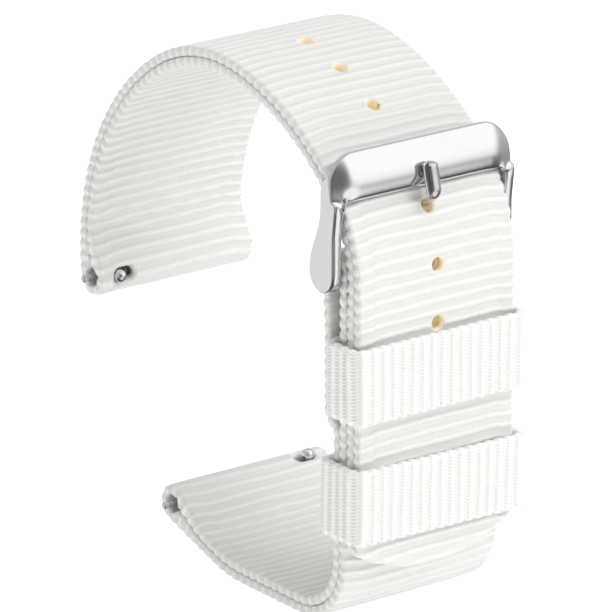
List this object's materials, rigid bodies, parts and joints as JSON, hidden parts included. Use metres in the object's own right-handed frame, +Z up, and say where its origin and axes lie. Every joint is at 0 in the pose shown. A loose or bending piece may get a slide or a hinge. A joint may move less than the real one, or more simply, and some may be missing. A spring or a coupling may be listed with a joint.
{
  "type": "nylon watch strap",
  "caption": "Ribbed nylon watch strap in two halves, buckled into a wrist loop, with a steel pin buckle, a fixed and a sliding keeper, and quick-release spring bars.",
  "frame": {"origin": "middle of the object's width and depth, on the surface that it stands on", "axes": "+X across the strap, +Z up, -Y towards the buckle and +Y towards the gap for the watch"},
  "size_m": [0.0254, 0.0552, 0.0626],
  "materials": {
    "webbing": "ribbed white nylon with a soft sheen",
    "buckle_steel": "polished stainless steel",
    "bar_steel": "turned stainless steel",
    "spring_steel": "drawn spring wire"
  },
  "bodies": {
    "strap": {"long_strap": "webbing", "short_strap": "webbing", "fixed_keeper": "webbing"},
    "floating_keeper": {"floating_keeper": "webbing"},
    "buckle": {"buckle_frame": "buckle_steel", "buckle_bar_tube": "bar_steel", "buckle_bar_spring": "spring_steel"},
    "tongue": {"buckle_tongue": "buckle_steel"},
    "buckle_tip_left": {"buckle_bar_tip_left": "bar_steel"},
    "buckle_tip_right": {"buckle_bar_tip_right": "bar_steel"},
    "upper_bar": {"upper_bar_tube": "bar_steel", "upper_bar_spring": "spring_steel", "upper_bar_fixed_tip": "bar_steel"},
    "upper_release": {"upper_bar_plunger": "bar_steel", "upper_bar_knob": "bar_steel"},
    "lower_bar": {"lower_bar_tube": "bar_steel", "lower_bar_spring": "spring_steel", "lower_bar_fixed_tip": "bar_steel"},
    "lower_release": {"lower_bar_plunger": "bar_steel", "lower_bar_knob": "bar_steel"}
  },
  "joints": [
    {"name": "keeper_slide", "type": "slide", "parent": "strap", "child": "floating_keeper", "axis": [0, 0, 1], "range_m": [-0.0025, 0.0028]},
    {"name": "buckle_turn", "type": "hinge", "parent": "strap", "child": "buckle", "pos_m": [0, -0.02146, 0.04265], "axis": [1, 0, 0], "range_deg": [0, 6]},
    {"name": "tongue_turn", "type": "hinge", "parent": "buckle", "child": "tongue", "pos_m": [0, -0.02146, 0.04265], "axis": [1, 0, 0], "range_deg": [0, 2]},
    {"name": "buckle_tip_left_slide", "type": "slide", "parent": "buckle", "child": "buckle_tip_left", "axis": [1, 0, 0], "range_m": [0, 0.0009], "stiffness_N_per_m": 300, "deforming": ["buckle_bar_spring"]},
    {"name": "buckle_tip_right_slide", "type": "slide", "parent": "buckle", "child": "buckle_tip_right", "axis": [-1, 0, 0], "range_m": [0, 0.0009], "stiffness_N_per_m": 300, "deforming": ["buckle_bar_spring"]},
    {"name": "upper_bar_turn", "type": "hinge", "parent": "strap", "child": "upper_bar", "pos_m": [0, 0.02527, 0.02921], "axis": [1, 0, 0], "range_deg": [-5, 5]},
    {"name": "upper_release_slide", "type": "slide", "parent": "upper_bar", "child": "upper_release", "axis": [1, 0, 0], "range_m": [0, 0.0013], "stiffness_N_per_m": 300, "deforming": ["upper_bar_spring"]},
    {"name": "lower_bar_turn", "type": "hinge", "parent": "strap", "child": "lower_bar", "pos_m": [0, 0.00942, 0.00573], "axis": [1, 0, 0], "range_deg": [-5, 5]},
    {"name": "lower_release_slide", "type": "slide", "parent": "lower_bar", "child": "lower_release", "axis": [-1, 0, 0], "range_m": [0, 0.0013], "stiffness_N_per_m": 300, "deforming": ["lower_bar_spring"]}
  ]
}
